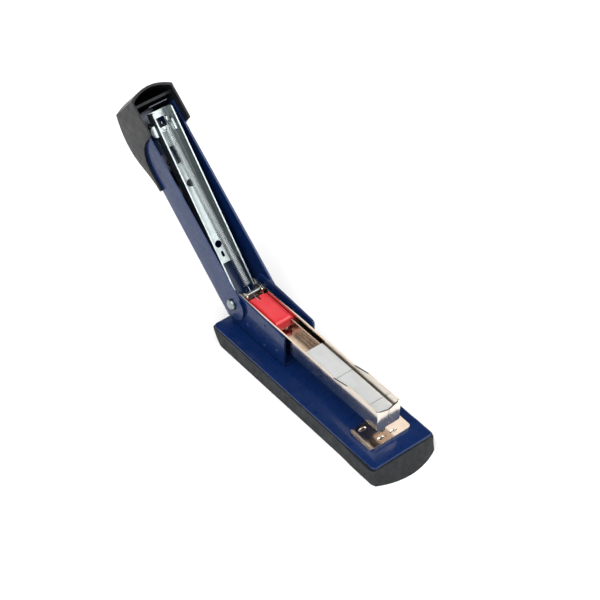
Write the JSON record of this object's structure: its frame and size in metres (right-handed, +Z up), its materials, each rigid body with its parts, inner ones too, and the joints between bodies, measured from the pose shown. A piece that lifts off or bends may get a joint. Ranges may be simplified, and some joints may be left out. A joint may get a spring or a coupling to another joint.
{
  "type": "stapler",
  "caption": "Desk stapler standing open for loading: plated magazine with staples and pusher on a padded base, arm swung back about the rear pin.",
  "frame": {"origin": "middle of the base pad's underside, nose included, at table level", "axes": "+X from the pivot towards the anvil and the round nose, +Y across the base, +Z up"},
  "size_m": [0.249, 0.0446, 0.1234],
  "materials": {
    "navy_paint": "smooth glossy stove enamel",
    "pad_rubber": "matt moulded",
    "chrome_plate": "mirror plated",
    "bright_nickel": "bright plated",
    "zinc_plate": "bright zinc plated",
    "spring_steel": "bare spring steel",
    "staple_wire": "fine galvanised wire in glued rows",
    "red_plastic": "moulded, satin gloss",
    "black_plastic": "moulded, satin"
  },
  "bodies": {
    "base": {"base_pad": "pad_rubber", "base_plate": "navy_paint", "bracket": "navy_paint", "bracket_rivet_rear": "zinc_plate", "bracket_rivet_front": "zinc_plate", "pivot_pin": "zinc_plate", "magazine_lift_spring": "spring_steel", "anvil_spring": "spring_steel"},
    "anvil_stem": {"anvil_post": "zinc_plate", "anvil_button": "zinc_plate"},
    "anvil": {"anvil_plate": "bright_nickel"},
    "magazine": {"magazine_casing": "chrome_plate", "core_rail": "zinc_plate", "core_rivet_rear": "zinc_plate", "core_rivet_front": "zinc_plate", "spring_bar": "zinc_plate", "staple_strip_1": "staple_wire", "staple_strip_2": "staple_wire", "staple_strip_3": "staple_wire"},
    "pusher": {"pusher": "red_plastic"},
    "carrier": {"carrier_channel": "zinc_plate", "feed_spring": "spring_steel"},
    "arm": {"arm_channel": "navy_paint", "arm_cap": "black_plastic", "driver_blade": "spring_steel", "driver_rivet": "zinc_plate", "handle_spring": "spring_steel", "handle_spring_rivet": "zinc_plate"}
  },
  "joints": [
    {"name": "magazine_hinge", "type": "hinge", "parent": "base", "child": "magazine", "pos_m": [-0.0669, 0, 0.0284], "axis": [0, 1, 0], "range_deg": [0, 3], "stiffness_Nm_per_rad": 3, "springref_deg": -2.29, "deforming": ["magazine_lift_spring"]},
    {"name": "carrier_hinge", "type": "hinge", "parent": "magazine", "child": "carrier", "pos_m": [-0.0669, 0, 0.0284], "axis": [0, 1, 0], "range_deg": [0, 131.2], "deforming": ["feed_spring"]},
    {"name": "arm_press", "type": "hinge", "parent": "carrier", "child": "arm", "pos_m": [-0.0669, 0, 0.0284], "axis": [0, 1, 0], "range_deg": [0, 4.86], "stiffness_Nm_per_rad": 2, "springref_deg": -1.72, "deforming": ["handle_spring"]},
    {"name": "pusher_slide", "type": "slide", "parent": "magazine", "child": "pusher", "axis": [1, 0, 0], "range_m": [0, 0.0255], "stiffness_N_per_m": 40, "springref_m": -0.03},
    {"name": "anvil_lift", "type": "slide", "parent": "base", "child": "anvil_stem", "axis": [0, 0, 1], "range_m": [0, 0.0015], "stiffness_N_per_m": 400, "springref_m": -0.002, "deforming": ["anvil_spring"]},
    {"name": "anvil_turn", "type": "hinge", "parent": "anvil_stem", "child": "anvil", "pos_m": [0.048, 0, 0.0126], "axis": [0, 0, 1], "range_deg": [0, 180]}
  ]
}
